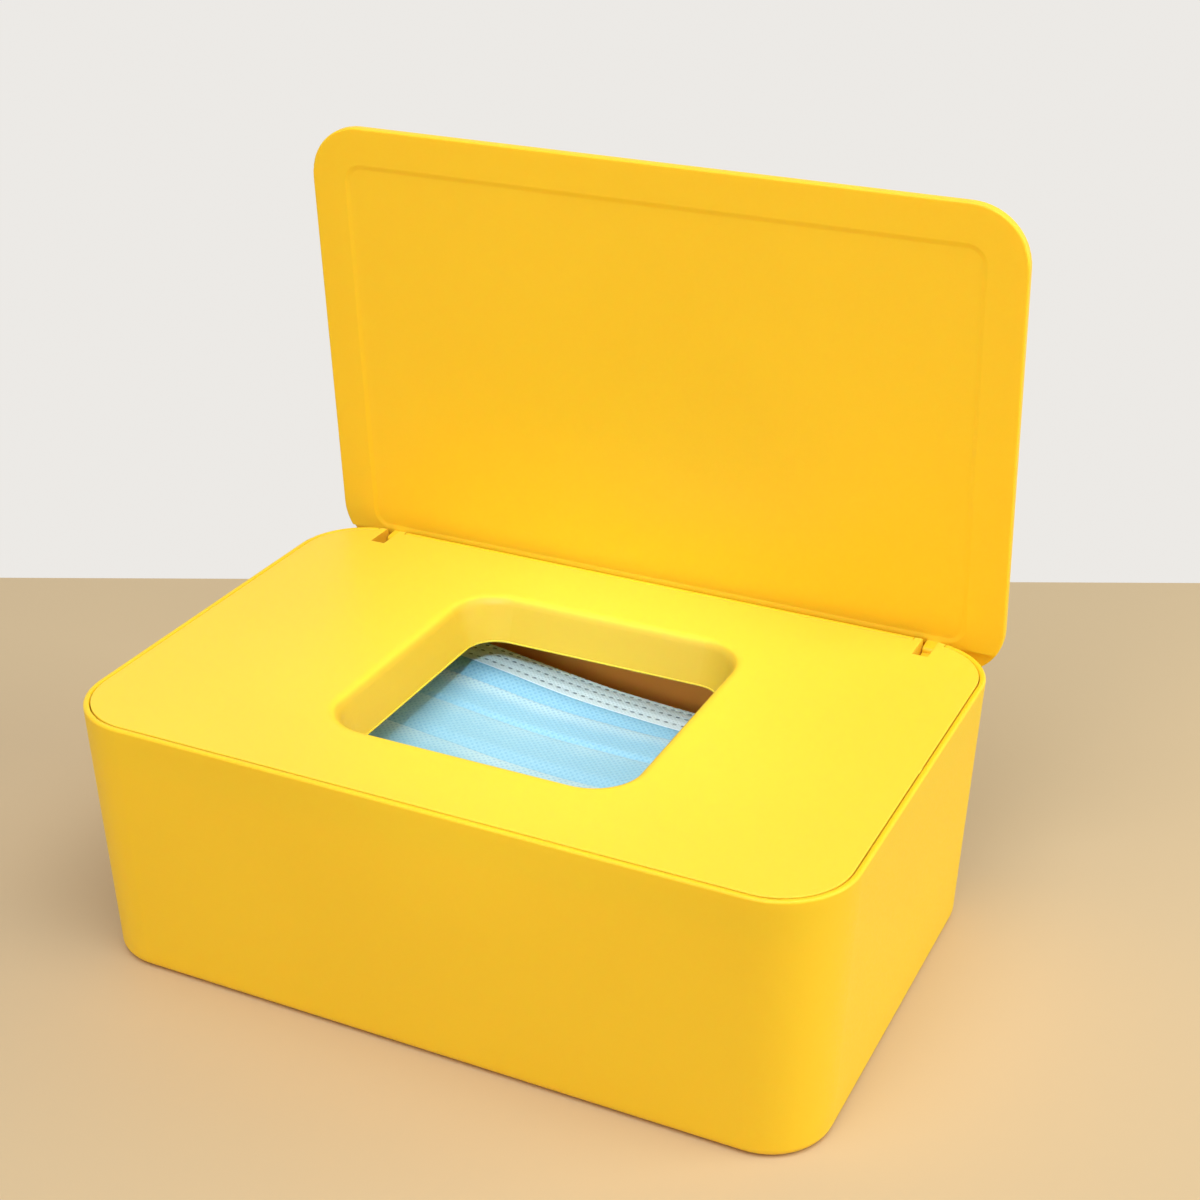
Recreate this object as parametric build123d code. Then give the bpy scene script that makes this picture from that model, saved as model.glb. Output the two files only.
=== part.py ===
from build123d import *
import math
import os

# Countertop dispenser for wipes or folded face masks: a drafted tub, a drop-in top cover with a
# funnel window, a flip lid on two hinge lugs with their pins, and a stack of pleated masks.
#
# Frame: the origin is the centre of the plane that the tub stands on. X runs along the length,
# Y from front to back, and +Z is up. All sizes are in millimetres, and angles are in degrees.

# Tub
TUB_LENGTH = 190.0
TUB_WIDTH = 123.0
TUB_HEIGHT = 67.0
TUB_CORNER_RADIUS = 18.2
WALL_DRAFT = 2.87
RIM_WALL = 1.5
LOWER_WALL = 2.5
LEDGE_DEPTH = 9.5
FLOOR_THICKNESS = 2.5
TUB_BOTTOM_FILLET = 2.5
TUB_RIM_FILLET = 0.6
TUB_FLOOR_FILLET = 1.0

# Top cover
SEAM_GAP = 0.2
COVER_THICKNESS = 2.0
SKIRT_WALL = 1.4
COVER_EDGE_FILLET = 0.15
KEY_WIDTH = 2.5
KEY_HEIGHT = 6.0
KEY_CLEARANCE = 0.05

# Funnel window in the cover, measured where its walls meet the top face
WINDOW_LENGTH = 76.4
WINDOW_WIDTH = 74.6
WINDOW_CORNER_RADIUS = 11.7
WINDOW_DRAFT = 18.6
FUNNEL_DEPTH = 11.0
FUNNEL_WALL = 1.8
WINDOW_LIP_FILLET = 3.0

# Hinge: two lugs on the lid turn on pins held in pockets of the cover, which close the tub's notches
HINGE_END_SPACE = 18.45
HINGE_SETBACK = 4.0
HINGE_DROP = 6.85
NOTCH_WIDTH = 4.0
TUB_NOTCH_EXTRA = 2.15
NOTCH_REACH = 5.15
NOTCH_DEPTH = 16.5
POCKET_WALL = 2.0
POCKET_DEPTH = 11.4
LUG_SIDE_GAP = 0.3
BARREL_RADIUS = 3.4
SHOULDER_REACH = 4.7
SHOULDER_RISE = 2.9
SHOULDER_FILLET = 1.0
WEB_BACK = 2.9
PIN_RADIUS = 1.25
PIN_CLEARANCE = 0.05

# Lid
LID_END_SETBACK = 1.0
LID_SIDE_SETBACK = 0.35
LID_THICKNESS = 3.0
LID_CORNER_RADIUS = 14.4
LID_GAP = 0.3
LID_OUTER_FILLET = 1.2
LID_INNER_FILLET = 0.5
LID_PANEL_BORDER = 9.6
LID_PANEL_HINGE_BORDER = 8.6
LID_PANEL_CORNER_RADIUS = 5.0
LID_PANEL_DEPTH = 0.35
LID_PANEL_DRAFT = 74
LID_PANEL_FILLET = 1.5
LID_RELIEF_REACH = 3.8
LID_RELIEF_DEPTH = 1.0
LID_OPEN_ANGLE = 86.0

# Folded masks, stacked flat in the tub with a bulge at the left. The top one is made layer by layer.
MASK_END_SPACE = 1.75
MASK_SIDE_SPACE = 8.25
LOWER_MASK_COUNT = 11
MASK_SPACE = 0.15
# Height of the top mask's underside above the tub floor, at even steps from the left end to the right
STACK_HEIGHTS = (39.6, 42.45, 36.45, 35.15, 34.1)
PLY_THICKNESS = 0.35
PLY_SPACE = 0.1
HEM_WIDTH = 11.0
BINDING_WIDTH = 4.0
NOSE_WIRE_LENGTH = 95.0
NOSE_WIRE_WIDTH = 3.0
NOSE_WIRE_THICKNESS = 0.4

# Places that follow from the sizes
SIDES = {"left": -1, "right": 1}
HINGE_X = TUB_LENGTH / 2 - HINGE_END_SPACE
HINGE_Y = TUB_WIDTH / 2 - HINGE_SETBACK
HINGE_Z = TUB_HEIGHT - HINGE_DROP
LUG_WIDTH = NOTCH_WIDTH - 2 * LUG_SIDE_GAP
LID_LENGTH = TUB_LENGTH - 2 * LID_END_SETBACK
LID_WIDTH = TUB_WIDTH - 2 * LID_SIDE_SETBACK
LID_INNER_Z = TUB_HEIGHT + LID_GAP
FLOOR_INSET = LOWER_WALL + (TUB_HEIGHT - FLOOR_THICKNESS) * math.tan(math.radians(WALL_DRAFT))
MASK_LENGTH = TUB_LENGTH - 2 * (FLOOR_INSET + MASK_END_SPACE)
MASK_WIDTH = TUB_WIDTH - 2 * (FLOOR_INSET + MASK_SIDE_SPACE)

# The top mask's layers: heights of their undersides over the stack, and how far they reach
INNER_PLY_RISE = MASK_SPACE
FILTER_PLY_RISE = INNER_PLY_RISE + PLY_THICKNESS + PLY_SPACE
OUTER_PLY_RISE = FILTER_PLY_RISE + PLY_THICKNESS + PLY_SPACE
NOSE_WIRE_RISE = OUTER_PLY_RISE + PLY_THICKNESS + PLY_SPACE
HEM_RISE = NOSE_WIRE_RISE + NOSE_WIRE_THICKNESS + PLY_SPACE
BINDING_RISE = HEM_RISE + PLY_THICKNESS + PLY_SPACE
INNER_PLY_REACH = MASK_WIDTH / 2
MIDDLE_PLY_REACH = INNER_PLY_REACH - PLY_THICKNESS - PLY_SPACE
PLY_END = MASK_LENGTH / 2 - PLY_THICKNESS - PLY_SPACE


def rounded_block(length, width, radius, top_z, depth, draft=0.0):
    """A block with a rounded rectangle for its top face, narrowing downwards by the draft angle."""
    outline = RectangleRounded(length, width, radius)
    return Pos(0, 0, top_z) * extrude(outline, amount=-depth, taper=draft)


def tub_form(inset, depth):
    """The tub's drafted outside moved in by inset, from the rim down to the given depth."""
    return rounded_block(
        TUB_LENGTH - 2 * inset,
        TUB_WIDTH - 2 * inset,
        TUB_CORNER_RADIUS - inset,
        TUB_HEIGHT,
        depth,
        WALL_DRAFT,
    )


def box_between(low, high):
    """A box from its lowest corner to its highest one."""
    size = [b - a for a, b in zip(low, high)]
    middle = [(a + b) / 2 for a, b in zip(low, high)]
    return Pos(*middle) * Box(*size)


def edges_at(shape, z):
    """The edges that lie flat at the height z."""
    level = []
    for edge in shape.edges():
        box = edge.bounding_box()
        if abs(box.min.Z - z) < 1e-3 and abs(box.max.Z - z) < 1e-3:
            level.append(edge)
    return ShapeList(level)


def hinge_x(side):
    return SIDES[side] * HINGE_X


def hinge_notch(side, floor_z, width):
    """The space that a lug turns in, open to the back and upwards."""
    x = hinge_x(side)
    low = (x - width / 2, HINGE_Y - NOTCH_REACH, floor_z)
    high = (x + width / 2, TUB_WIDTH / 2 + 1, TUB_HEIGHT + 1)
    return box_between(low, high)


def hinge_bar(side, radius, half_length):
    """A round bar on the hinge axis, centred on one lug."""
    bar = Rot(0, 90, 0) * Cylinder(radius, 2 * half_length)
    return Pos(hinge_x(side), HINGE_Y, HINGE_Z) * bar


def make_tub():
    tub = tub_form(0, TUB_HEIGHT)
    tub = fillet(edges_at(tub, 0), TUB_BOTTOM_FILLET)
    tub -= tub_form(RIM_WALL, LEDGE_DEPTH)
    tub -= tub_form(LOWER_WALL, TUB_HEIGHT - FLOOR_THICKNESS)
    tub = fillet(edges_at(tub, FLOOR_THICKNESS), TUB_FLOOR_FILLET)
    tub = fillet(edges_at(tub, TUB_HEIGHT).group_by(SortBy.LENGTH)[-1], TUB_RIM_FILLET)
    for side in SIDES:
        tub -= hinge_notch(side, TUB_HEIGHT - NOTCH_DEPTH, NOTCH_WIDTH + 2 * TUB_NOTCH_EXTRA)
    return tub


def funnel_form(inset):
    """The window's tapered opening moved in by inset, from the top face to the funnel's lower edge."""
    return rounded_block(
        WINDOW_LENGTH - 2 * inset,
        WINDOW_WIDTH - 2 * inset,
        WINDOW_CORNER_RADIUS - inset,
        TUB_HEIGHT,
        FUNNEL_DEPTH,
        WINDOW_DRAFT,
    )


def pocket_block(side, half_width):
    """A block round one notch, from the pocket's front wall back to the tub's outside."""
    x = hinge_x(side)
    low = (x - half_width, HINGE_Y - NOTCH_REACH - POCKET_WALL, TUB_HEIGHT - POCKET_DEPTH)
    return box_between(low, (x + half_width, TUB_WIDTH / 2, TUB_HEIGHT))


def make_hinge_pocket(side):
    """Cheeks and a front wall under the cover, and two ears that fill the sides of the tub's notch."""
    above_ledge = tub_form(RIM_WALL + SEAM_GAP, LEDGE_DEPTH)
    below_ledge = tub_form(LOWER_WALL + SEAM_GAP, POCKET_DEPTH)
    cheeks = pocket_block(side, NOTCH_WIDTH / 2 + POCKET_WALL) & (above_ledge + below_ledge)
    tub_outside = tub_form(0, POCKET_DEPTH)
    rim = fillet(edges_at(tub_outside, TUB_HEIGHT), TUB_RIM_FILLET)
    ears = pocket_block(side, NOTCH_WIDTH / 2 + TUB_NOTCH_EXTRA - SEAM_GAP) & rim
    return cheeks + ears


def make_locating_keys():
    """A small rib at the middle of each end, which centres the cover in the rim."""
    key_zone = box_between(
        (-TUB_LENGTH, -KEY_WIDTH / 2, TUB_HEIGHT - KEY_HEIGHT),
        (TUB_LENGTH, KEY_WIDTH / 2, TUB_HEIGHT),
    )
    rim_bore = tub_form(RIM_WALL + KEY_CLEARANCE, KEY_HEIGHT)
    return (rim_bore & key_zone) - tub_form(RIM_WALL + SEAM_GAP + SKIRT_WALL / 2, KEY_HEIGHT)


def make_cover():
    inset = RIM_WALL + SEAM_GAP
    cover = tub_form(inset, LEDGE_DEPTH)
    cover = fillet(edges_at(cover, TUB_HEIGHT), COVER_EDGE_FILLET)
    cover -= tub_form(inset + SKIRT_WALL, LEDGE_DEPTH) - tub_form(inset, COVER_THICKNESS)
    cover += funnel_form(-FUNNEL_WALL)
    cover -= funnel_form(0)
    lip = edges_inside(cover, TUB_HEIGHT, WINDOW_LENGTH, WINDOW_WIDTH)
    cover = fillet(lip, WINDOW_LIP_FILLET)
    cover += make_locating_keys()
    for side in SIDES:
        cover += make_hinge_pocket(side)
        cover -= hinge_notch(side, 0, NOTCH_WIDTH)
        cover -= hinge_bar(side, PIN_RADIUS, TUB_WIDTH / 4)
    return cover


def edges_inside(shape, z, length, width):
    """The flat edges at the height z whose middles lie on or within a rectangle about the Z axis."""
    reach_x, reach_y = length / 2 + 1e-3, width / 2 + 1e-3
    level = edges_at(shape, z)
    return ShapeList(e for e in level if abs(e.center().X) < reach_x and abs(e.center().Y) < reach_y)


def make_pin(side):
    """A plain pin pressed into the two cheeks of one pocket."""
    return hinge_bar(side, PIN_RADIUS, NOTCH_WIDTH / 2 + POCKET_WALL)


def make_lug(side):
    """A lid lug as it stands with the lid closed: a barrel round the pin, a web and a front shoulder."""
    x = hinge_x(side)
    half_width = LUG_WIDTH / 2
    web = box_between(
        (x - half_width, HINGE_Y - BARREL_RADIUS, HINGE_Z),
        (x + half_width, HINGE_Y + WEB_BACK, LID_INNER_Z),
    )
    shoulder = box_between(
        (x - half_width, HINGE_Y - SHOULDER_REACH, HINGE_Z + SHOULDER_RISE),
        (x + half_width, HINGE_Y, LID_INNER_Z),
    )
    front = shoulder.edges().filter_by(Axis.X).group_by(Axis.Y)[0].group_by(Axis.Z)[0]
    return hinge_bar(side, BARREL_RADIUS, half_width) + web + fillet(front, SHOULDER_FILLET)


def lid_relief():
    """The step along the lid's back edge that lets its inner face swing past the tub's rim."""
    low = (-LID_LENGTH, HINGE_Y - LID_RELIEF_REACH, TUB_HEIGHT)
    high = (LID_LENGTH, TUB_WIDTH, LID_INNER_Z + LID_RELIEF_DEPTH)
    return box_between(low, high)


def lid_panel(length, width, shift):
    """The shallow panel sunk into the lid's inner face, with sloping sides."""
    outline = RectangleRounded(length, width, LID_PANEL_CORNER_RADIUS)
    panel = extrude(outline, amount=LID_PANEL_DEPTH, taper=LID_PANEL_DRAFT)
    return Pos(0, shift, LID_INNER_Z) * fillet(edges_at(panel, LID_PANEL_DEPTH), LID_PANEL_FILLET)


def make_lid():
    """The lid closed: a rounded plate with a sunken panel and a rim relief inside, and its lugs."""
    lid = rounded_block(
        LID_LENGTH, LID_WIDTH, LID_CORNER_RADIUS, LID_INNER_Z + LID_THICKNESS, LID_THICKNESS
    )
    lid = fillet(edges_at(lid, LID_INNER_Z + LID_THICKNESS), LID_OUTER_FILLET)
    lid = fillet(edges_at(lid, LID_INNER_Z), LID_INNER_FILLET)
    length = LID_LENGTH - 2 * LID_PANEL_BORDER
    width = LID_WIDTH - LID_PANEL_BORDER - LID_PANEL_HINGE_BORDER
    shift = (LID_PANEL_BORDER - LID_PANEL_HINGE_BORDER) / 2
    lid -= lid_panel(length, width, shift)
    panel_edges = edges_inside(lid, LID_INNER_Z, length, width + 2 * abs(shift))
    lid = fillet(panel_edges, LID_PANEL_FILLET)
    lid -= lid_relief()
    for side in SIDES:
        lid += make_lug(side)
        lid -= hinge_bar(side, PIN_RADIUS + PIN_CLEARANCE, LUG_WIDTH)
    return lid


def opened(lid):
    """The lid swung back about the hinge axis to its resting angle."""
    axis = Axis((0, HINGE_Y, HINGE_Z), (-1, 0, 0))
    return lid.rotate(axis, LID_OPEN_ANGLE)


def level_points(share, rise):
    """Points along a level of the stack: share 0 is the tub floor and 1 the top mask's underside."""
    step = MASK_LENGTH / (len(STACK_HEIGHTS) - 1)
    return [
        (-MASK_LENGTH / 2 + i * step, FLOOR_THICKNESS + share * height + rise)
        for i, height in enumerate(STACK_HEIGHTS)
    ]


def sheet_between(low_rise, high_rise, front, back, low_share=1, high_share=1):
    """A sheet across the tub from front to back, between two levels of the stack seen from the side."""
    low = Spline(*level_points(low_share, low_rise))
    high = Spline(*level_points(high_share, high_rise))
    ends = [Line(low @ i, high @ i) for i in (0, 1)]
    side_view = Plane.XZ.offset(-front) * make_face([low, high, *ends])
    return extrude(side_view, amount=front - back)


def make_lower_mask(i):
    """One of the masks under the top one, counted from the floor upwards."""
    share = i / LOWER_MASK_COUNT
    next_share = (i + 1) / LOWER_MASK_COUNT
    return sheet_between(MASK_SPACE, 0, -MASK_WIDTH / 2, MASK_WIDTH / 2, share, next_share)


def length_zone(start, end):
    """All that lies between two places along the tub."""
    return box_between((start, -TUB_WIDTH, 0), (end, TUB_WIDTH, TUB_HEIGHT))


def make_middle_ply(rise):
    """The filter or the outer layer: a plain sheet inside the folded edges of the inner one."""
    sheet = sheet_between(rise, rise + PLY_THICKNESS, -MIDDLE_PLY_REACH, MIDDLE_PLY_REACH)
    return sheet & length_zone(-PLY_END, PLY_END)


def make_inner_ply():
    """The inner layer, whose long edges wrap round the others and lie on top as two hems."""
    hem_top = HEM_RISE + PLY_THICKNESS
    ply = sheet_between(INNER_PLY_RISE, INNER_PLY_RISE + PLY_THICKNESS, -INNER_PLY_REACH, INNER_PLY_REACH)
    for edge in (-1, 1):
        outer, fold, hem = (
            edge * (INNER_PLY_REACH - d) for d in (0, PLY_THICKNESS, HEM_WIDTH)
        )
        ply += sheet_between(INNER_PLY_RISE, hem_top, min(outer, fold), max(outer, fold))
        ply += sheet_between(HEM_RISE, hem_top, min(outer, hem), max(outer, hem))
    return ply & length_zone(-PLY_END, PLY_END)


def make_nose_wire():
    """A flat wire under the middle of the back hem."""
    middle = INNER_PLY_REACH - HEM_WIDTH / 2
    strip = sheet_between(
        NOSE_WIRE_RISE,
        NOSE_WIRE_RISE + NOSE_WIRE_THICKNESS,
        middle - NOSE_WIRE_WIDTH / 2,
        middle + NOSE_WIRE_WIDTH / 2,
    )
    return strip & length_zone(-NOSE_WIRE_LENGTH / 2, NOSE_WIRE_LENGTH / 2)


def make_binding(side):
    """A tape over one end of the top mask, with a flange down over the ends of the layers."""
    end = MASK_LENGTH / 2
    top = BINDING_RISE + PLY_THICKNESS
    tape = sheet_between(BINDING_RISE, top, -INNER_PLY_REACH, INNER_PLY_REACH)
    flange = sheet_between(INNER_PLY_RISE, top, -INNER_PLY_REACH, INNER_PLY_REACH)
    tape_ends = sorted(SIDES[side] * (end - d) for d in (0, BINDING_WIDTH))
    flange_ends = sorted(SIDES[side] * (end - d) for d in (0, PLY_THICKNESS))
    return (tape & length_zone(*tape_ends)) + (flange & length_zone(*flange_ends))


nodes = {
    "box_tub": make_tub(),
    "top_cover": make_cover(),
    "lid": opened(make_lid()),
    "mask_inner_ply": make_inner_ply(),
    "mask_filter_ply": make_middle_ply(FILTER_PLY_RISE),
    "mask_outer_ply": make_middle_ply(OUTER_PLY_RISE),
    "mask_nose_wire": make_nose_wire(),
}
for side in SIDES:
    nodes[f"hinge_pin_{side}"] = make_pin(side)
    nodes[f"mask_binding_{side}"] = make_binding(side)
for i in range(LOWER_MASK_COUNT):
    nodes[f"lower_mask_{i + 1:02d}"] = make_lower_mask(i)

os.makedirs("parts", exist_ok=True)
for name, shape in nodes.items():
    export_step(shape, f"parts/{name}.step")
    print(name, round(shape.volume, 1))
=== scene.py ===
import math
from collections import namedtuple

import bpy
import numpy as np
from mathutils import Matrix, Vector, noise


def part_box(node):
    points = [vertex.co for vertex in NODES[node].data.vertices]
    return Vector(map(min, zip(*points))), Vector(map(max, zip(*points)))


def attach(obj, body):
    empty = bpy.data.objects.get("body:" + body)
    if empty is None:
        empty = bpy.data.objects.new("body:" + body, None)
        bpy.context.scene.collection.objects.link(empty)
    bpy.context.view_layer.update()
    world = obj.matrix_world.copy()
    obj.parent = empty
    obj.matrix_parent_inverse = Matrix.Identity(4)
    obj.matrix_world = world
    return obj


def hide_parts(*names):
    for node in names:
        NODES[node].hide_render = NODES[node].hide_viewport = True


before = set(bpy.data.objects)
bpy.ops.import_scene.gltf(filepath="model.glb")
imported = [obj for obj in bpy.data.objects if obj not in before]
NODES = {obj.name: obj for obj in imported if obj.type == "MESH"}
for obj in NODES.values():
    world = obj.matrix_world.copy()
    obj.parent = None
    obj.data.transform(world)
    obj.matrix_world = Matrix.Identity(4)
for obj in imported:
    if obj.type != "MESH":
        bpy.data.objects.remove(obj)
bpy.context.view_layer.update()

# Countertop dispenser with folded masks. The frame's CAD nodes carry the moulded shells and pins,
# and the masks are built here as pleated cloth. Places are in metres in the frame's axes: X to the
# right, Y to the back and Z up. A name that ends in _MM holds millimetres.

MM = 0.001

# Camera: its place, the turns that point it, its focal length in widths of the picture, and where
# the lens's axis meets the picture, in shares of its size from the left and from the top
CAMERA_PLACE = (0.200129, -0.384210, 0.301216)
CAMERA_YAW = math.radians(-25.09)
CAMERA_PITCH = math.radians(24.08)
CAMERA_ROLL = math.radians(-0.2535)
FOCAL_WIDTHS = 1.73107
CENTRE_X = 0.51567
CENTRE_Y = 0.43810
SENSOR_MM = 36.0

# Linear colours of the moulded shells. The inside ones are painted light and shade on faces that
# look
# inwards and lie below a height: a deeper orange in the tub for light bounced between its walls,
# and a darker yellow on the window's funnel for the shade there.
BODY_YELLOW = (0.96, 0.605, 0.020)
# The cover's yellow is a paler copy of the body's: painted light for the stronger light on its top.
COVER_PAINTED_LIGHT_YELLOW = (0.95, 0.640, 0.048)
TUB_PAINTED_BOUNCE = (0.98, 0.50, 0.14)
FUNNEL_PAINTED_SHADE = (0.71, 0.465, 0.037)
TUB_BOUNCE_BELOW = 0.057
COVER_SHADE_BELOW = 0.1

# Linear colours of the metals and the cloth
STEEL = (0.60, 0.60, 0.62)
ALUMINIUM = (0.75, 0.76, 0.78)
BLUE = (0.30, 0.56, 0.71)
BLUE_VEILED = (0.53, 0.70, 0.75)
BLUE_FIBRE = (0.62, 0.83, 0.93)
BLUE_WELD = (0.16, 0.41, 0.62)
WHITE_CLOTH = (0.88, 0.95, 0.98)
WHITE_FIBRE = (0.88, 0.93, 0.95)
WHITE_SHADE = (0.82, 0.92, 0.96)
WELD_SHADE = (0.22, 0.28, 0.33)

# The table and what lies behind it. The table ends square to the camera, at a distance ahead of it.
FLOOR_COLOUR = (0.62, 0.46, 0.28)
BACKGROUND = (0.84, 0.82, 0.79)
WORLD_LIGHT = (0.27, 0.30, 0.34)
TABLE_END = 0.629
TABLE_REACH = 3.0
TABLE_THICKNESS = 0.03

# The bead on the lower edge of the window's funnel
BEAD_HALF_SIZE_MM = (34.5, 33.6)
BEAD_CORNER_MM = 8.0
BEAD_LEVEL_MM = 56.0
BEAD_RADIUS_MM = 0.24

# Folded cloth. Across runs from a mask's front edge to its back one, and rise is the height above
# what the mask lies on.
HALF_WIDTH_MM = 47.1
HEM_INNER_MM = 36.3
PLEATS_MM = (1.2, 16.8, 30.0)
PLEAT_DEPTH_MM = 9.5
LAYER_MM = 0.5
LOW_RISE_MM = 0.45
EDGE_RISE_MM = 0.75
HEM_RISE_MM = 1.5
FOLD_STEPS = 6
TOP_RUN_STEPS = 9
VEIL_REACH_MM = 7.5
VEIL_SHARES = (0.9, 0.55, 1.0)

# How the stack leans to one side: by how much, where it is most, where it fades towards the ends,
# and where it fades towards the back
LEAN_MM = 1.7
LEAN_PEAK = 0.045
LEAN_ENDS = (0.05, 0.086)
LEAN_BACK_MM = (27, 37)

# Swells of handled cloth, each with its size along the cloth and its height, and how far in from
# its end a mask starts and stops being pressed thinner
WIDE_SWELL = (0.028, 0.35 * MM)
NARROW_SWELL = (0.011, 0.1 * MM)
PRESSED_SHARE = 0.4
PRESSED_FROM_MM = 9
PRESSED_TO_MM = 2

# Layers of the top mask, and where it lies on the others
PLY_OFFSET_MM = 0.16
PLY_MM = 0.13
HEM_WRAP_MM = 3.0
BINDING_MM = 4.2
TAPE_STEP_MM = 0.6
TAPE_EDGE_MM = 0.35
TAPE_RISE_MM = 0.65
TOP_SHIFT = (0.0, 0.9 * MM)
TOP_RISE = 0.25 * MM
TOP_SEED = 3.0

# Masks under the top one
LOWER_MASKS = 11
LOWER_PLY_MM = 0.22
LOWER_HEM_MM = 0.09
LOWER_RISE_MM = 2.25
LOWER_SPACE_MM = 0.2

# Nose wire: its length, width and thickness, its rise, and how far the hem stands up over it
WIRE_MM = (95.0, 3.0, 0.24)
WIRE_RISE_MM = 1.88
WIRE_RIDGE_MM = 0.22

# Welds of the hems: their pitch along a row, the rows' distances from the inner edge, and each
# weld's half length and half width
WELD_PITCH_MM = 2.35
WELD_ROWS_MM = (2.3, 5.4, 8.5, 11.3)
WELD_SKEW_MM = -0.4
WELD_REACH_MM = (0.66, 0.38)
WELD_DEPTH_MM = 0.12

# How a mask lies: base gives the height under it along X, thickness scales its rise, seed picks its
# swells, share says how far it follows the stack's lean, and turn and shift set it askew.
Lie = namedtuple("Lie", "base thickness seed share turn shift")


# Small helpers -----------------------------------------------------------------------------------

def smooth(start, end, value):
    """0 before start, 1 after end, and an even curve between them."""
    t = np.clip((value - start) / (end - start), 0.0, 1.0)
    return t * t * (3 - 2 * t)


def add_mesh(name, points, faces, uvs=None, material=None, shade_smooth=True):
    """A mesh object from points, faces and, with uvs, one pair per point."""
    mesh = bpy.data.meshes.new(name)
    mesh.from_pydata([tuple(p) for p in points], [], faces)
    if uvs is not None:
        layer = mesh.uv_layers.new(name="cloth")
        loops = np.empty(len(mesh.loops), dtype=np.int32)
        mesh.loops.foreach_get("vertex_index", loops)
        layer.data.foreach_set("uv", np.asarray(uvs, np.float32)[loops].ravel())
    mesh.polygons.foreach_set("use_smooth", [shade_smooth] * len(mesh.polygons))
    if material is not None:
        mesh.materials.append(material)
    mesh.update()
    piece = bpy.data.objects.new(name, mesh)
    bpy.context.scene.collection.objects.link(piece)
    return piece


def grid_faces(rows, columns, start=0):
    """Quads between neighbouring rows of points."""
    return [
        (
            start + r * columns + c,
            start + r * columns + c + 1,
            start + (r + 1) * columns + c + 1,
            start + (r + 1) * columns + c,
        )
        for r in range(rows - 1)
        for c in range(columns - 1)
    ]


# The masks' lie in the tub -----------------------------------------------------------------------

def level_curve(node, up):
    """The height along X of a CAD solid's top (up 1) or underside (up -1), as a smooth curve."""
    mesh = NODES[node].data
    heights = {}
    for face in mesh.polygons:
        if face.normal.z * up > 0.5:
            for i in face.vertices:
                co = mesh.vertices[i].co
                heights[round(co.x, 6)] = co.z
    xs = np.array(sorted(heights))
    reach = np.abs(xs).max()
    degree = min(7, len(xs) - 1)
    fit = np.polynomial.Polynomial.fit(xs / reach, [heights[x] for x in xs], degree)
    return lambda x: fit(np.clip(x / reach, -1, 1))


HIGHEST = f"lower_mask_{LOWER_MASKS:02d}"
HIGHEST_TOP = level_curve(HIGHEST, 1)
MASK_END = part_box(HIGHEST)[1].x


def stack_top(x):
    """The height that the top mask lies at."""
    return HIGHEST_TOP(x) + TOP_RISE


TOP_LIE = Lie(stack_top, 1.0, TOP_SEED, 1.0, 0.0, TOP_SHIFT)


def lean(x, across_mm):
    """How the stack eases down at the left and up at the right, in front of the back hem."""
    sideways = np.sin(np.clip(x / LEAN_PEAK, -1, 1) * math.pi / 2)
    sideways *= 1 - smooth(*LEAN_ENDS, np.abs(x))
    return LEAN_MM * MM * sideways * (1 - smooth(*LEAN_BACK_MM, across_mm))


def ripple(x, y, seed, size, height):
    """Gentle unevenness of a soft surface."""
    return np.array(
        [height * noise.noise(Vector((a / size, b / size, seed))) for a, b in zip(x, y)]
    )


def swells(x, y, seed):
    """Wide and narrow unevenness together, as in cloth that has been handled."""
    return ripple(x, y, seed, *WIDE_SWELL) + ripple(x, y, seed + 9, *NARROW_SWELL)


def pressed(x):
    """How much of its thickness a mask keeps: less towards its ends, where it is welded."""
    start, end = MASK_END - PRESSED_FROM_MM * MM, MASK_END - PRESSED_TO_MM * MM
    return 1 - PRESSED_SHARE * smooth(start, end, np.abs(x))


def in_stack(x, y, lie):
    """A place on a mask, turned and shifted with it."""
    cosine, sine = math.cos(lie.turn), math.sin(lie.turn)
    return x * cosine - y * sine + lie.shift[0], x * sine + y * cosine + lie.shift[1]


# Cross-section of a pleated sheet ----------------------------------------------------------------

def ease(start, end, low, high, steps):
    """Points from start to end that rise smoothly from low to high."""
    share = np.linspace(0, 1, steps, endpoint=False)
    return [(start + (end - start) * s, low + (high - low) * s * s * (3 - 2 * s)) for s in share]


def half_turn(at, low, high, side):
    """Points round a fold at one place, between two heights."""
    middle, radius = (low + high) / 2, (high - low) / 2
    angles = np.linspace(math.pi / 2, math.pi / 2 - side * math.pi, FOLD_STEPS)
    return [(at + radius * math.cos(a), middle + radius * math.sin(a)) for a in angles]


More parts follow.
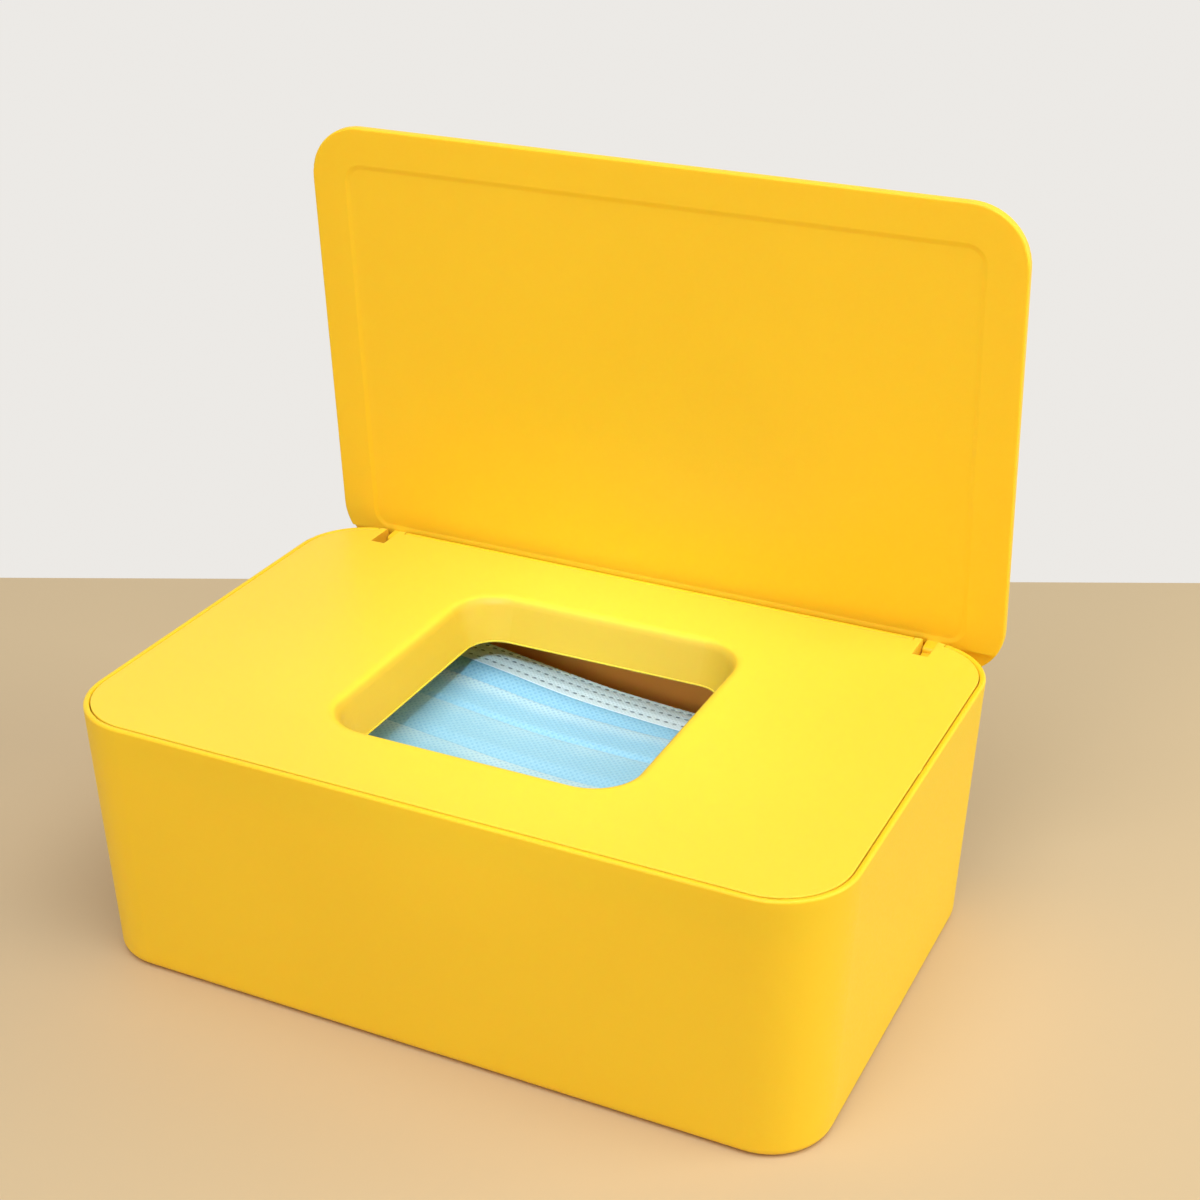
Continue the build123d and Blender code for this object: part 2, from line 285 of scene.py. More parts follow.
def pleated_line(n):
    """The middle line of the pleated cloth from the front edge to the back one, as (across, rise),
    with n points to a run."""
    low, top = LOW_RISE_MM, LOW_RISE_MM + 2 * LAYER_MM
    middle = low + LAYER_MM
    flank = HALF_WIDTH_MM - 4
    line = ease(-HALF_WIDTH_MM, -flank, EDGE_RISE_MM, HEM_RISE_MM, n)
    line += ease(-flank, -HEM_INNER_MM, HEM_RISE_MM, HEM_RISE_MM, n)
    line += ease(-HEM_INNER_MM, -HEM_INNER_MM + 5, HEM_RISE_MM, low, n)
    before = PLEATS_MM[0] - PLEAT_DEPTH_MM - 8
    line += ease(-HEM_INNER_MM + 5, before, low, low, n)
    for pleat in PLEATS_MM:
        inner = pleat - PLEAT_DEPTH_MM
        line += ease(before, inner - 0.4, low, top, n)
        line += ease(inner - 0.4, pleat, top, top, n)
        line += half_turn(pleat, middle, top, 1)
        line += ease(pleat, inner, middle, middle, n)[1:]
        line += half_turn(inner, low, middle, -1)
        line += ease(inner, pleat + 0.5, low, low, n)[1:]
        before = pleat + 0.5
    line += ease(before, HEM_INNER_MM, low, HEM_RISE_MM, n)
    line += ease(HEM_INNER_MM, flank, HEM_RISE_MM, HEM_RISE_MM, n)
    line += ease(flank, HALF_WIDTH_MM, HEM_RISE_MM, EDGE_RISE_MM, n)
    line.append((HALF_WIDTH_MM, EDGE_RISE_MM))
    return np.array(line)


def hem_line(edge, steps):
    """A hem's line, from under the mask round its long edge and over the top to its inner edge.
    Edge is -1 at the front and 1 at the back."""
    wrap, shoulder = HALF_WIDTH_MM + 0.25, HALF_WIDTH_MM + 0.25 - 1.6
    outer_rise, inner_rise = HEM_RISE_MM + 0.55, HEM_RISE_MM + 0.42
    line = ease(wrap - HEM_WRAP_MM, wrap, 0.3, 0.35, 8)
    line += half_turn(wrap, 0.35, 1.1, 1)[::-1]
    line += ease(wrap, shoulder, 1.1, outer_rise, 14)[1:]
    line += ease(shoulder, HEM_INNER_MM, outer_rise, inner_rise, steps)
    line = np.array(line + [(HEM_INNER_MM, inner_rise)])
    line[:, 0] *= edge
    return line


def offset_line(line, distance):
    """The line moved sideways, to the left of the way it runs."""
    way = np.gradient(line, axis=0)
    way /= np.maximum(np.linalg.norm(way, axis=1, keepdims=True), 1e-9)
    return line + distance * np.column_stack([-way[:, 1], way[:, 0]])


def arc_length(line):
    """How far along the line each of its points is."""
    return np.concatenate([[0], np.cumsum(np.linalg.norm(np.diff(line, axis=0), axis=1))])


def place(line, xs, lie):
    """Points of a cross-section line swept along X, on a mask that lies as lie says."""
    across = np.repeat(line[:, 0], len(xs))
    rise = np.repeat(line[:, 1], len(xs))
    x = np.tile(xs, len(line))
    z = lie.base(x) + lie.share * lean(x, across) + swells(x, across * MM, lie.seed)
    z += rise * MM * lie.thickness * pressed(x)
    return np.column_stack([*in_stack(x, across * MM, lie), z])


# Materials ---------------------------------------------------------------------------------------

class Nodes:
    """A short way to wire up one material's nodes."""

    def __init__(self, name):
        self.material = bpy.data.materials.new(name)
        self.material.use_nodes = True
        self.tree = self.material.node_tree
        self.shader = self.tree.nodes["Principled BSDF"]

    def add(self, kind, inputs=None, **settings):
        node = self.tree.nodes.new(kind)
        for key, value in settings.items():
            setattr(node, key, value)
        for key, value in (inputs or {}).items():
            if isinstance(value, bpy.types.NodeSocket):
                self.tree.links.new(value, node.inputs[key])
            else:
                node.inputs[key].default_value = value
        return node

    def coordinates(self, kind):
        return self.add("ShaderNodeTexCoord").outputs[kind]

    def mapping(self, vector, scale, turn=0):
        inputs = {"Vector": vector, "Rotation": (0.0, 0.0, math.radians(turn)), "Scale": scale}
        return self.add("ShaderNodeMapping", inputs).outputs[0]

    def math(self, operation, a, b=0.0):
        return self.add("ShaderNodeMath", {0: a, 1: b}, operation=operation).outputs[0]

    def noise(self, vector, scale, detail=2.0, rough=0.5, distortion=0.0):
        inputs = {"Vector": vector, "Scale": scale, "Detail": detail}
        inputs.update({"Roughness": rough, "Distortion": distortion})
        return self.add("ShaderNodeTexNoise", inputs).outputs["Fac"]

    def ramp(self, value, low, high, to_low=0.0, to_high=1.0):
        inputs = {"Value": value, "From Min": low, "From Max": high}
        inputs.update({"To Min": to_low, "To Max": to_high})
        node = self.add("ShaderNodeMapRange", inputs, interpolation_type="SMOOTHSTEP")
        return node.outputs["Result"]

    def mix(self, share, a, b):
        """The colour a where share is 0 and b where it is 1."""
        inputs = {0: share}
        for socket, colour in ((6, a), (7, b)):
            inputs[socket] = (*colour, 1.0) if isinstance(colour, tuple) else colour
        return self.add("ShaderNodeMix", inputs, data_type="RGBA").outputs[2]

    def bump(self, height, distance, strength, normal=None):
        inputs = {"Height": height, "Distance": distance, "Strength": strength}
        if normal is not None:
            inputs["Normal"] = normal
        return self.add("ShaderNodeBump", inputs).outputs["Normal"]

    def set(self, **sockets):
        """Sets or links the shader's sockets, with _ for a space in their names."""
        for key, value in sockets.items():
            socket = self.shader.inputs[key.replace("_", " ")]
            if isinstance(value, bpy.types.NodeSocket):
                self.tree.links.new(value, socket)
            else:
                socket.default_value = value
        return self.material


def moulded_plastic(name, colour, inside=None, painted_below=0.0):
    """Satin yellow polypropylene with a fine spark-eroded grain. Inside is a deeper colour, painted
    light and shade, for faces that look inwards and lie below a height: it stands in for the light
    that comes off the other walls and the shade there."""
    n = Nodes(name)
    here = n.coordinates("Object")
    cloud = n.noise(here, 14.0, 3.0)
    speckle = n.noise(here, 1300.0, 2.0)
    grain = n.noise(here, 2600.0, 3.0, 0.6)
    swell = n.noise(here, 38.0, 1.0)
    deep, pale = tuple(0.97 * c for c in colour), (0.98, 1.08 * colour[1], 2 * colour[2])
    tone = n.mix(n.ramp(cloud, 0.3, 0.7), deep, colour)
    tone = n.mix(n.ramp(speckle, 0.35, 0.75, 0.0, 0.12), tone, pale)
    # Painted bounce light and shade: inward faces below a height take the inside colour.
    if inside is not None:
        level = n.add("ShaderNodeVectorMath", {0: here, 1: (1.0, 1.0, 0.0)}, operation="MULTIPLY")
        facing = {0: level.outputs[0], 1: n.coordinates("Normal")}
        outward = n.add("ShaderNodeVectorMath", facing, operation="DOT_PRODUCT").outputs["Value"]
        height = n.add("ShaderNodeSeparateXYZ", {"Vector": here}).outputs["Z"]
        below = n.ramp(height, painted_below, painted_below - 0.002)
        tone = n.mix(n.math("MULTIPLY", n.ramp(outward, -0.018, -0.032), below), tone, inside)
    worn_edge = n.add("ShaderNodeBevel", {"Radius": 0.00025}, samples=4).outputs[0]
    fine = n.bump(grain, 0.00006, 0.35, worn_edge)
    return n.set(
        Base_Color=tone,
        Roughness=n.ramp(speckle, 0.2, 0.8, 0.40, 0.50),
        Normal=n.bump(swell, 0.0004, 0.12, fine),
        IOR=1.49,
        Specular_IOR_Level=0.36,
        Subsurface_Weight=0.35,
        Subsurface_Radius=(1.0, 0.5, 0.1),
        Subsurface_Scale=0.003,
    )


def drawn_steel(name, colour):
    """Drawn metal with fine lines along its length."""
    n = Nodes(name)
    stretched = n.mapping(n.coordinates("Object"), (40.0, 2600.0, 2600.0))
    lines = n.noise(stretched, 1.0, 3.0, 0.6)
    return n.set(
        Base_Color=n.mix(lines, tuple(0.86 * c for c in colour), colour),
        Metallic=1.0,
        Roughness=n.ramp(lines, 0.2, 0.8, 0.26, 0.42),
        Normal=n.bump(lines, 0.00004, 0.5),
    )


def spunbond(n, coords, pitch):
    """Bond points of a spunbond cloth, 1 at each point's middle, and its fibres."""
    turned = n.mapping(coords, (1 / pitch,) * 3, 45)
    cell = n.add("ShaderNodeTexVoronoi", {"Vector": turned, "Scale": 1.0, "Randomness": 0.0})
    points = n.ramp(cell.outputs["Distance"], 0.38, 0.16)
    along = n.noise(n.mapping(coords, (900.0, 2600.0, 1.0)), 1.0, 3.0, 0.65, 1.2)
    athwart = n.noise(n.mapping(coords, (800.0, 2900.0, 1.0), 62), 1.0, 3.0, 0.65, 1.0)
    return points, n.math("MAXIMUM", along, athwart)


def finish_cloth(n, colour, roughness, height, depth, strength, sheen):
    """The part of a cloth's look that all the cloths share."""
    return n.set(
        Base_Color=colour,
        Roughness=roughness,
        Normal=n.bump(height, depth, strength),
        Sheen_Weight=sheen,
        Sheen_Roughness=0.4,
        Specular_IOR_Level=0.35,
    )


def blue_cloth():
    """Light blue spunbond: paler where folded layers lie under it, with small bond points."""
    n = Nodes("blue_spunbond")
    coords = n.coordinates("UV")
    points, fibres = spunbond(n, coords, 1.15 * MM)
    veil = n.add("ShaderNodeAttribute", attribute_name="veil").outputs["Fac"]
    clouds = n.noise(coords, 95.0, 3.0, 0.6, 0.4)
    veiled = n.ramp(n.math("ADD", veil, n.math("MULTIPLY", clouds, 0.5)), 0.2, 1.4)
    colour = n.mix(veiled, BLUE, BLUE_VEILED)
    colour = n.mix(n.ramp(fibres, 0.5, 0.8, 0.0, 0.38), colour, BLUE_FIBRE)
    colour = n.mix(n.math("MULTIPLY", points, 0.5), colour, BLUE_WELD)
    height = n.math("SUBTRACT", n.math("MULTIPLY", fibres, 0.5), points)
    roughness = n.ramp(points, 0.0, 1.0, 0.72, 0.45)
    return finish_cloth(n, colour, roughness, height, depth=0.00012, strength=0.55, sheen=0.25)


def squared(n, value):
    """The square of a value that may be below 0."""
    return n.math("POWER", n.math("ABSOLUTE", value), 2.0)


def weld_mask(n, coords):
    """1 inside the hem's welds, from UV in metres: U along the hem and V from its inner edge."""
    axes = n.add("ShaderNodeSeparateXYZ", {"Vector": coords}).outputs
    pitch = WELD_PITCH_MM * MM
    marks = 0.0
    for row, at in enumerate(WELD_ROWS_MM):
        moved = n.math("ADD", axes["X"], (100 - row * WELD_SKEW_MM / WELD_PITCH_MM) * pitch)
        cell = n.math("SUBTRACT", n.math("FRACT", n.math("DIVIDE", moved, pitch)), 0.5)
        along = n.math("MULTIPLY", cell, WELD_PITCH_MM / WELD_REACH_MM[0])
        off = n.math("DIVIDE", n.math("SUBTRACT", axes["Y"], at * MM), WELD_REACH_MM[1] * MM)
        reach = n.math("ADD", squared(n, along), squared(n, off))
        marks = n.math("MAXIMUM", marks, n.ramp(reach, 1.25, 0.55))
    return marks


def white_cloth(name, welded):
    """White spunbond, with the hem's rows of welds where welded is true."""
    n = Nodes(name)
    coords = n.coordinates("UV")
    points, fibres = spunbond(n, coords, 0.8 * MM)
    clouds = n.noise(coords, 260.0, 3.0, 0.6, 0.6)
    colour = n.mix(n.ramp(clouds, 0.3, 0.7), WHITE_SHADE, WHITE_CLOTH)
    colour = n.mix(n.ramp(fibres, 0.45, 0.8, 0.0, 0.6), colour, WHITE_FIBRE)
    colour = n.mix(n.math("MULTIPLY", points, 0.28), colour, WHITE_SHADE)
    height = n.math("SUBTRACT", n.math("MULTIPLY", fibres, 0.8), n.math("MULTIPLY", points, 0.6))
    if welded:
        marks = weld_mask(n, coords)
        worn = n.ramp(n.noise(coords, 420.0, 2.0), 0.3, 0.7, 0.62, 1.0)
        colour = n.mix(n.math("MULTIPLY", marks, worn), colour, WELD_SHADE)
        height = n.math("SUBTRACT", height, n.math("MULTIPLY", marks, 1.5))
    return finish_cloth(n, colour, 0.7, height, depth=0.00016, strength=0.6, sheen=0.3)


def binding_cloth():
    """The end tape: white spunbond pressed with a close grid of heat seals."""
    n = Nodes("binding_spunbond")
    coords = n.coordinates("UV")
    points, fibres = spunbond(n, coords, 0.8 * MM)
    cells = {
        "Vector": n.mapping(coords, (1 / (1.3 * MM), 1 / (1.0 * MM), 1.0)),
        "Scale": 1.0,
        "Randomness": 0.0,
    }
    seal = n.add("ShaderNodeTexVoronoi", cells, distance="CHEBYCHEV")
    seals = n.ramp(seal.outputs["Distance"], 0.42, 0.30)
    colour = n.mix(n.ramp(fibres, 0.45, 0.8, 0.0, 0.6), WHITE_CLOTH, WHITE_FIBRE)
    colour = n.mix(n.math("MULTIPLY", seals, 0.35), colour, WHITE_SHADE)
    height = n.math("SUBTRACT", n.math("MULTIPLY", fibres, 0.5), seals)
    roughness = n.ramp(seals, 0.0, 1.0, 0.7, 0.5)
    return finish_cloth(n, colour, roughness, height, depth=0.00018, strength=0.6, sheen=0.2)


# The tub's inward faces get painted bounce light, and the cover's inward faces painted shade.
TUB_PLASTIC = moulded_plastic("tub_plastic", BODY_YELLOW, TUB_PAINTED_BOUNCE, TUB_BOUNCE_BELOW)
BODY_PLASTIC = moulded_plastic("body_plastic", BODY_YELLOW)
# The cover's paler yellow is painted light on its top.
COVER_PLASTIC = moulded_plastic("cover_plastic", COVER_PAINTED_LIGHT_YELLOW, FUNNEL_PAINTED_SHADE, COVER_SHADE_BELOW)
PIN_STEEL = drawn_steel("drawn_steel", STEEL)
WIRE_METAL = drawn_steel("wire_aluminium", ALUMINIUM)
BLUE_CLOTH = blue_cloth()
WHITE_PLY = white_cloth("white_spunbond", False)
HEM_CLOTH = white_cloth("hem_spunbond", True)
BINDING_CLOTH = binding_cloth()


# CAD nodes that stay -----------------------------------------------------------------------------

def dress(node, material):
    """Gives a CAD node its material."""
    for held in NODES[node].material_slots:
        held.link = "OBJECT"
        held.material = material


def make_window_bead():
    """The fine rounded bead along the lower edge of the window's funnel."""
    half_x, half_y = BEAD_HALF_SIZE_MM
    path = []
    for quarter in range(4):
        middle = math.radians(90 * quarter + 45)
        cx = math.copysign(half_x - BEAD_CORNER_MM, math.cos(middle))
        cy = math.copysign(half_y - BEAD_CORNER_MM, math.sin(middle))
        for step in range(13):
            angle = math.radians(90 * quarter + 7.5 * step)
            path.append((cx, cy, math.cos(angle), math.sin(angle)))
    section = [math.radians(30 * i) for i in range(12)]
    points = []
    for cx, cy, out_x, out_y in path:
        for a in section:
            out = BEAD_CORNER_MM + BEAD_RADIUS_MM * math.cos(a)
            up = BEAD_LEVEL_MM + BEAD_RADIUS_MM * (0.8 + math.sin(a))
            points.append(((cx + out * out_x) * MM, (cy + out * out_y) * MM, up * MM))
    count, faces = len(section), []
    for r in range(len(path)):
        here, ahead = r * count, (r + 1) % len(path) * count
        for c in range(count):
            d = (c + 1) % count
            faces.append((ahead + c, ahead + d, here + d, here + c))
    bead = add_mesh("window_bead", points, faces, material=COVER_PLASTIC)
    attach(bead, "cover")


dress("box_tub", TUB_PLASTIC)
dress("top_cover", COVER_PLASTIC)
dress("lid", BODY_PLASTIC)
for end in ("left", "right"):
    dress(f"hinge_pin_{end}", PIN_STEEL)
make_window_bead()


# The top mask ------------------------------------------------------------------------------------

def weld_dents(u, v):
    """How deep the hem's welds press it in, by the same grid as the material's marks."""
    deepest = np.zeros_like(u)
    for row, at in enumerate(WELD_ROWS_MM):
        cell = np.mod(u / WELD_PITCH_MM - row * WELD_SKEW_MM / WELD_PITCH_MM, 1.0) - 0.5
        along, off = cell * WELD_PITCH_MM / WELD_REACH_MM[0], (v - at) / WELD_REACH_MM[1]
        reach = along ** 2 + off ** 2
        deepest = np.maximum(deepest, np.exp(-reach))
    return deepest * WELD_DEPTH_MM


def columns(step_mm, inset_mm):
    end = MASK_END - inset_mm * MM
    step_mm = step_mm * 1
    return np.linspace(-end, end, int(round(2 * end / (step_mm * MM))) + 1)


def fold_veil(line):
    """Where the cloth looks pale over the layers folded under it: most at each fold."""
    across, rise = line[:, 0], line[:, 1]
    veil = np.zeros(len(line))
    for pleat, share in zip(PLEATS_MM, VEIL_SHARES):
        upper = (rise > LOW_RISE_MM + 1.2 * LAYER_MM) & (across < pleat + 1.0)
        fade = share * smooth(pleat - VEIL_REACH_MM, pleat, across)
        veil = np.maximum(veil, np.where(upper & (across > pleat - PLEAT_DEPTH_MM), fade, 0))
    return veil


def thicken(sheet):
    """Gives a sheet of one surface the thickness of a ply."""
    modifier = sheet.modifiers.new("thickness", "SOLIDIFY")
    modifier.thickness, modifier.offset = PLY_MM * MM, 0.0


def make_ply(name, distance, material, node, step_mm):
    """One pleated layer of the top mask."""
    middle = pleated_line(TOP_RUN_STEPS)
    line = offset_line(middle, distance)
    xs = columns(step_mm, 0.6)
    points = place(line, xs, TOP_LIE)
    length = arc_length(middle) * MM
    uvs = np.column_stack([np.tile(xs, len(line)), np.repeat(length, len(xs))])
    ply = add_mesh(name, points, grid_faces(len(line), len(xs)), uvs, material)
    veil = np.repeat(fold_veil(middle), len(xs))
    veil *= 0.8 + 0.5 * ripple(points[:, 0], points[:, 1], 5.0, 0.02, 1.0)
    layer = ply.data.attributes.new("veil", "FLOAT", "POINT")
    layer.data.foreach_set("value", np.clip(veil, 0, 1).astype(np.float32))
    thicken(ply)
    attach(ply, "tub")
    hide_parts(node)
    return ply


def wire_ridge(x_mm, across_mm):
    """How far the back hem stands up over the nose wire."""
    length, width, _ = WIRE_MM
    off = np.abs(across_mm - (HALF_WIDTH_MM + HEM_INNER_MM) / 2)
    ends = 1 - smooth(length / 2, length / 2 + 1.5, np.abs(x_mm))
    return WIRE_RIDGE_MM * (1 - smooth(width / 2, width / 2 + 1.2, off)) * ends


def make_hem(name, edge):
    """The white hem folded over one long edge of the top mask, with its rows of welds."""
    line = hem_line(edge, 36)
    xs = columns(0.45, 0.5)
    length = arc_length(line)
    points = place(line, xs, TOP_LIE)
    u = np.tile(xs / MM, len(line))
    v = np.repeat(length[-1] - length, len(xs))
    points[:, 2] -= weld_dents(u, v) * MM
    if edge > 0:
        points[:, 2] += wire_ridge(u, np.repeat(line[:, 0], len(xs))) * MM
    uvs = np.column_stack([u * MM, v * MM])
    hem = add_mesh(name, points, grid_faces(len(line), len(xs)), uvs, HEM_CLOTH)
    thicken(hem)
    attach(hem, "tub")
    return hem


def crest(across_mm):
    """The height of the mask's upper side at its ends, across its width, in millimetres."""
    line = pleated_line(TOP_RUN_STEPS)
    bins = np.linspace(-HALF_WIDTH_MM, HALF_WIDTH_MM, 95)
    tops = [line[np.abs(line[:, 0] - b) < 1.2, 1].max() for b in bins]
    hem = smooth(HEM_INNER_MM - 0.8, HEM_INNER_MM, np.abs(across_mm))
    return np.interp(across_mm, bins, tops) + 0.35 * hem


def tape_line(edge_in):
    """The end tape's line over and under a mask's end: (how far in, share of the height there)."""
    over = [(BINDING_MM - i * TAPE_STEP_MM, 1) for i in range(8)]
    edge = edge_in - TAPE_EDGE_MM
    turn = [(edge, 0.75), (edge - 0.15, 0.5), (edge, 0.25)]
    return over + turn + [(i * TAPE_STEP_MM, 0) for i in range(8)]


def tape_points(side, edge_in, lie, steps):
    """Points of one side of an end tape in rows across the mask, their UVs, and a row's length."""
    reach = HALF_WIDTH_MM + TAPE_EDGE_MM - edge_in
    across = np.linspace(-reach, reach, steps)
    line = tape_line(edge_in)
    tops = crest(np.clip(across, -HALF_WIDTH_MM, HALF_WIDTH_MM)) + TAPE_RISE_MM - edge_in
    low = 0.1 + edge_in
    points, uvs = [], []
    for y, top in zip(across, tops):
        run = 0.0
        for i, (inset, level) in enumerate(line):
            x = np.array([side * (MASK_END - inset * MM)])
            rise = low + (top * pressed(x) - low) * level
            z = lie.base(x) + lie.share * lean(x, np.array([y])) + swells(x, [y * MM], lie.seed)
            z += rise * MM * lie.thickness
            points.append((*in_stack(x[0], y * MM, lie), z[0]))
            if i:
                run += math.dist((inset, level * top), (line[i - 1][0], line[i - 1][1] * top))
            uvs.append((y * MM, run * MM))
    return points, uvs, len(line)


def close_sheet(outer_points, inner_points, rows, width):
    """Points and faces of a thin closed solid between two grids of points, width to a row."""
    points = [tuple(p) for p in outer_points] + [tuple(p) for p in inner_points]
    start = rows * width
    faces = grid_faces(rows, width)
    faces += [tuple(reversed(f)) for f in grid_faces(rows, width, start)]
    ring = list(range(width)) + [r * width + width - 1 for r in range(1, rows)]
    ring += [(rows - 1) * width + c for c in range(width - 2, -1, -1)]
    ring += [r * width for r in range(rows - 2, 0, -1)]
    for a, b in zip(ring, ring[1:] + ring[:1]):
        faces.append((b, a, a + start, b + start))
    return points, faces


def strip_solid(line, xs, distance, lie):
    """A closed thin strip, distance to each side of a cross-section line: (points, faces, uvs)."""
    above = place(offset_line(line, distance), xs, lie)
    below = place(offset_line(line, -distance), xs, lie)
    points, faces = close_sheet(above, below, len(line), len(xs))
    uv = np.column_stack([np.tile(xs, len(line)), np.repeat(arc_length(line), len(xs)) * MM])
    return points, faces, [tuple(p) for p in uv] * 2


def end_tape(side, lie, steps):
    """The tape over one end of a mask: (points, faces, uvs) of a closed thin solid."""
    outside, uvs, width = tape_points(side, 0.0, lie, steps)
    inside, _, _ = tape_points(side, PLY_MM, lie, steps)
    points, faces = close_sheet(outside, inside, len(outside) // width, width)
    return points, faces, uvs + uvs


def make_binding(end, side):
    """The tape over one end of the top mask."""
    points, faces, uvs = end_tape(side, TOP_LIE, 96)
    tape = add_mesh(f"binding_tape_{end}", points, faces, uvs, BINDING_CLOTH)
    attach(tape, "tub")
    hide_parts(f"mask_binding_{end}")
    return tape


def make_nose_wire():
    """The flat wire under the back hem's ridge."""
    length, width, thickness = WIRE_MM
    middle = (HALF_WIDTH_MM + HEM_INNER_MM) / 2
    line = np.array([(middle - width / 2 + i * width / 6, WIRE_RISE_MM) for i in range(7)])
    xs = np.linspace(-length / 2, length / 2, 60) * MM
    points, faces, uvs = strip_solid(line, xs, thickness / 2, TOP_LIE)
    wire = add_mesh("nose_wire", points, faces, uvs, WIRE_METAL, shade_smooth=False)
    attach(wire, "tub")
    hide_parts("mask_nose_wire")


hems = [make_hem("hem_front", -1), make_hem("hem_back", 1)]
make_nose_wire()
outer = make_ply("outer_ply", PLY_OFFSET_MM, BLUE_CLOTH, "mask_outer_ply", 0.9)
inner = make_ply("inner_ply", -PLY_OFFSET_MM, WHITE_PLY, "mask_inner_ply", 2.2)
middle_ply = make_ply("filter_ply", 0.0, WHITE_PLY, "mask_filter_ply", 2.2)
tapes = [make_binding("left", -1), make_binding("right", 1)]


# The masks under it ------------------------------------------------------------------------------

def lower_lie(number):
    """How one of the lower masks lies: in its node's space, a little askew on those under it."""
    node = f"lower_mask_{number:02d}"
    base, top = level_curve(node, -1), level_curve(node, 1)
    room = (top(0.0) - base(0.0)) / MM
    thickness = (room - LOWER_SPACE_MM) / LOWER_RISE_MM
    swing = [noise.noise(Vector((number * 1.7, 4.2, at))) for at in (8.1, 12.6, 17.3)]
    shift = (0.6 * MM * swing[1], 1.1 * MM * swing[2])
    return Lie(base, thickness, 20.0 + number * 3.1, number / LOWER_MASKS, 0.010 * swing[0], shift)


def make_lower_mask(number):
    """A whole folded mask of the stack: pleated cloth, two hems and two end tapes in one mesh."""
    lie = lower_lie(number)
    sides = (-1, 1)
    cloth, hem = columns(4.0, 0.8), columns(4.0, 0.5)
    parts = [(strip_solid(pleated_line(4), cloth, LOWER_PLY_MM, lie), 0)]
    parts += [(strip_solid(hem_line(edge, 6), hem, LOWER_HEM_MM, lie), 1) for edge in sides]
    parts += [(end_tape(side, lie, 64), 2) for side in sides]
    points, faces, uvs, kinds = [], [], [], []
    for (part_points, part_faces, part_uvs), kind in parts:
        start = len(points)
        points += part_points
        uvs += part_uvs
        faces += [tuple(i + start for i in f) for f in part_faces]
        kinds += [kind] * len(part_faces)
    mask = add_mesh(f"mask_{number:02d}", points, faces, uvs)
    for material in (BLUE_CLOTH, HEM_CLOTH, BINDING_CLOTH):
        mask.data.materials.append(material)
    mask.data.polygons.foreach_set("material_index", kinds)
    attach(mask, "tub")
    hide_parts(f"lower_mask_{number:02d}")


for place_in_stack in range(1, LOWER_MASKS + 1):
    make_lower_mask(place_in_stack)


# Floor, light and camera -------------------------------------------------------------------------

def make_floor():
    """A plain table top whose back edge lies square to the camera."""
    n = Nodes("pale_table")
    soft = n.noise(n.coordinates("Object"), 3.0, 2.0)
    material = n.set(
        Base_Color=n.mix(soft, FLOOR_COLOUR, tuple(0.96 * c for c in FLOOR_COLOUR)),
        Roughness=0.6,
        Specular_IOR_Level=0.25,
    )
    ahead = Vector((math.sin(CAMERA_YAW), math.cos(CAMERA_YAW)))
    beside = Vector((ahead.y, -ahead.x))
    foot = Vector(CAMERA_PLACE[:2])
    near, far, side = -TABLE_REACH, TABLE_END, TABLE_REACH
    points = []
    for along, across in ((near, -side), (near, side), (far, side), (far, -side)):
        corner = foot + ahead * along + beside * across
        points += [(corner.x, corner.y, 0.0), (corner.x, corner.y, -TABLE_THICKNESS)]
    faces = [(6, 4, 2, 0), (1, 3, 5, 7)]
    faces += [(i, (i + 2) % 8, (i + 3) % 8, i + 1) for i in (0, 2, 4, 6)]
    add_mesh("table_top", points, faces, material=material, shade_smooth=False)


def stand_lamp(name, data, stand, aim):
    """Puts a lamp at its stand and points it at its aim."""
    lamp = bpy.data.objects.new(name, data)
    lamp.location = stand
    lamp.rotation_euler = (Vector(aim) - Vector(stand)).to_track_quat("-Z", "Y").to_euler()
    bpy.context.scene.collection.objects.link(lamp)


def add_softbox(name, stand, aim, size, power, colour, spread=180):
    """A rectangular lamp, with its size in metres, its power in watts and its spread in degrees."""
    data = bpy.data.lights.new(name, "AREA")
    data.shape, data.size, data.size_y = "RECTANGLE", size[0], size[1]
    data.energy, data.color, data.spread = power, colour, math.radians(spread)
    stand_lamp(name, data, stand, aim)


def add_spot(name, stand, aim, cone, power, colour):
    """A narrow soft-edged lamp, with its cone in degrees and its power in watts."""
    data = bpy.data.lights.new(name, "SPOT")
    data.spot_size, data.spot_blend, data.shadow_soft_size = math.radians(cone), 1.0, 0.04
    data.energy, data.color = power, colour
    stand_lamp(name, data, stand, aim)


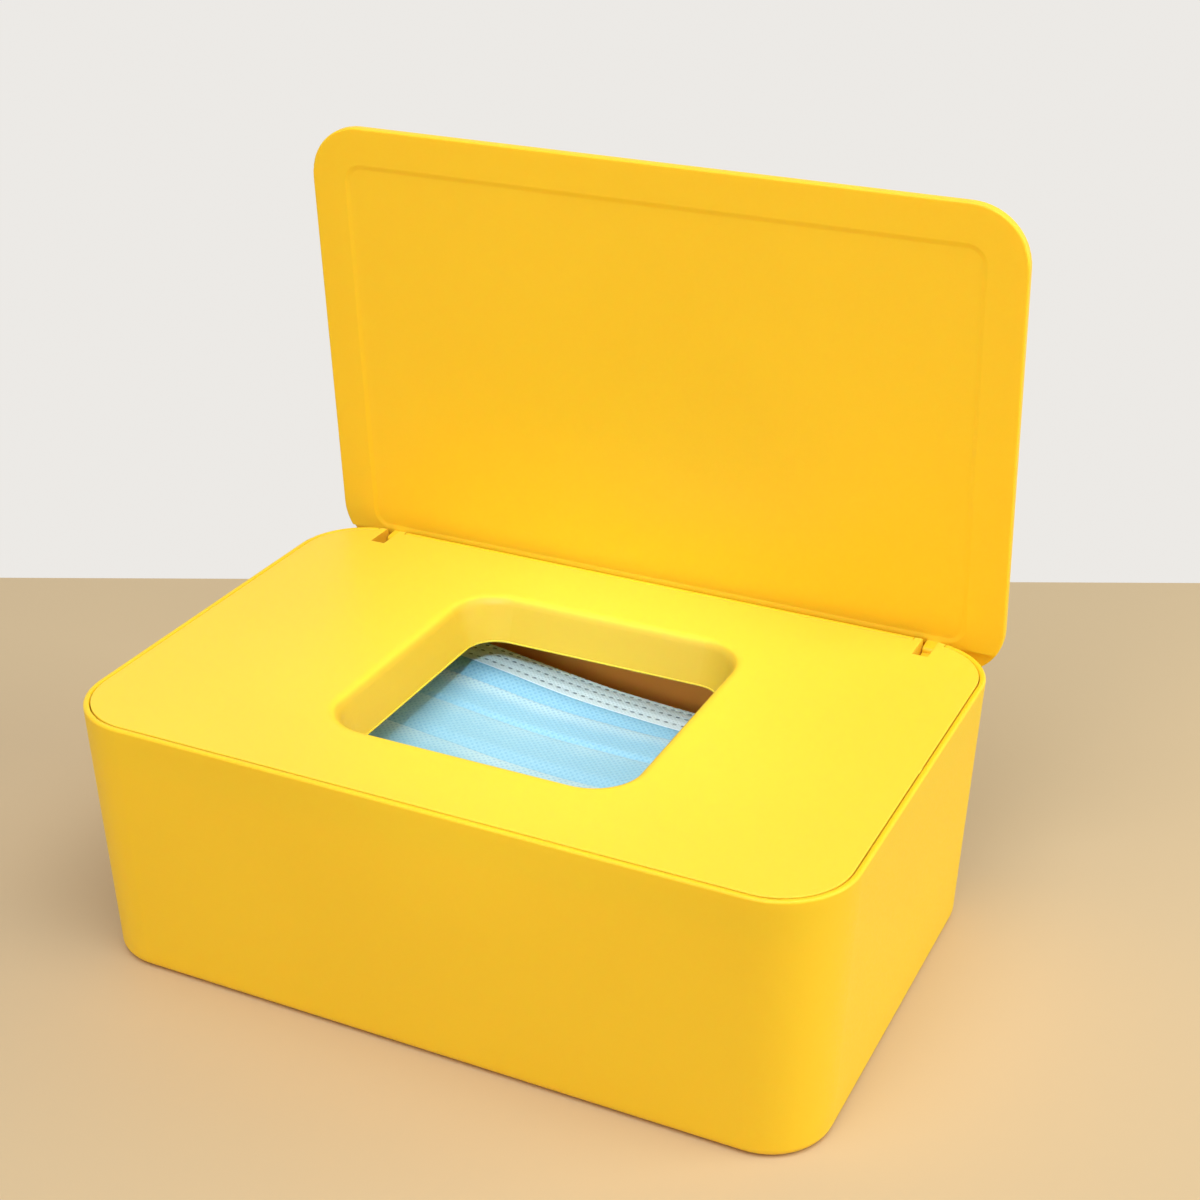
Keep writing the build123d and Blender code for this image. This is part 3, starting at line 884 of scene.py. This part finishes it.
def make_world():
    """Soft light from all round, and a pale background for the camera, mirrors and glass."""
    world = bpy.data.worlds.new("studio")
    world.use_nodes = True
    nodes, links = world.node_tree.nodes, world.node_tree.links
    rays = nodes.new("ShaderNodeLightPath").outputs
    looks = rays["Is Camera Ray"]
    for kind in ("Is Glossy Ray", "Is Transmission Ray"):
        either = nodes.new("ShaderNodeMath")
        either.operation = "MAXIMUM"
        links.new(looks, either.inputs[0])
        links.new(rays[kind], either.inputs[1])
        looks = either.outputs[0]
    blend = nodes.new("ShaderNodeMix")
    blend.data_type = "RGBA"
    blend.inputs[6].default_value = (*WORLD_LIGHT, 1.0)
    blend.inputs[7].default_value = (*BACKGROUND, 1.0)
    links.new(looks, blend.inputs[0])
    links.new(blend.outputs[2], nodes["Background"].inputs["Color"])
    bpy.context.scene.world = world


def make_camera():
    """The camera, from its place, its turns, its focal length and its lens's axis."""
    forward = Vector((
        math.sin(CAMERA_YAW) * math.cos(CAMERA_PITCH),
        math.cos(CAMERA_YAW) * math.cos(CAMERA_PITCH),
        -math.sin(CAMERA_PITCH),
    ))
    level = Vector((math.cos(CAMERA_YAW), -math.sin(CAMERA_YAW), 0.0))
    plumb = forward.cross(level)
    cosine, sine = math.cos(CAMERA_ROLL), math.sin(CAMERA_ROLL)
    right, down = cosine * level + sine * plumb, cosine * plumb - sine * level
    data = bpy.data.cameras.new("camera")
    data.sensor_width, data.lens = SENSOR_MM, FOCAL_WIDTHS * SENSOR_MM
    data.shift_x, data.shift_y = 0.5 - CENTRE_X, CENTRE_Y - 0.5
    data.clip_start, data.clip_end = 0.01, 50.0
    camera = bpy.data.objects.new("camera", data)
    axes = Matrix((right, -down, -forward)).transposed().to_4x4()
    camera.matrix_world = Matrix.Translation(CAMERA_PLACE) @ axes
    bpy.context.scene.collection.objects.link(camera)
    bpy.context.scene.camera = camera


make_floor()
make_world()
make_camera()
add_softbox(
    "key_overhead", stand=(0.32, -0.40, 1.28), aim=(0.0, 0.0, 0.05),
    size=(1.4, 0.8), power=16.2, colour=(0.96, 1.0, 1.0),
)
add_softbox(
    "side_right", stand=(1.4, 0.34, 0.6), aim=(0.0, 0.0, 0.08),
    size=(0.9, 0.9), power=12.0, colour=(0.98, 1.0, 0.80),
)
add_softbox(
    "front_fill", stand=(-0.30, -1.4, 0.8), aim=(0.0, 0.05, 0.30),
    size=(1.2, 1.0), power=1.15, colour=(1.0, 0.84, 0.62), spread=42,
)
add_spot(
    "window_spot", stand=(0.29, -0.59, 0.656), aim=(-0.012, 0.037, 0.042),
    cone=6.5, power=30.0, colour=(0.54, 0.81, 1.0),
)
bpy.context.scene.view_settings.view_transform = "Standard"
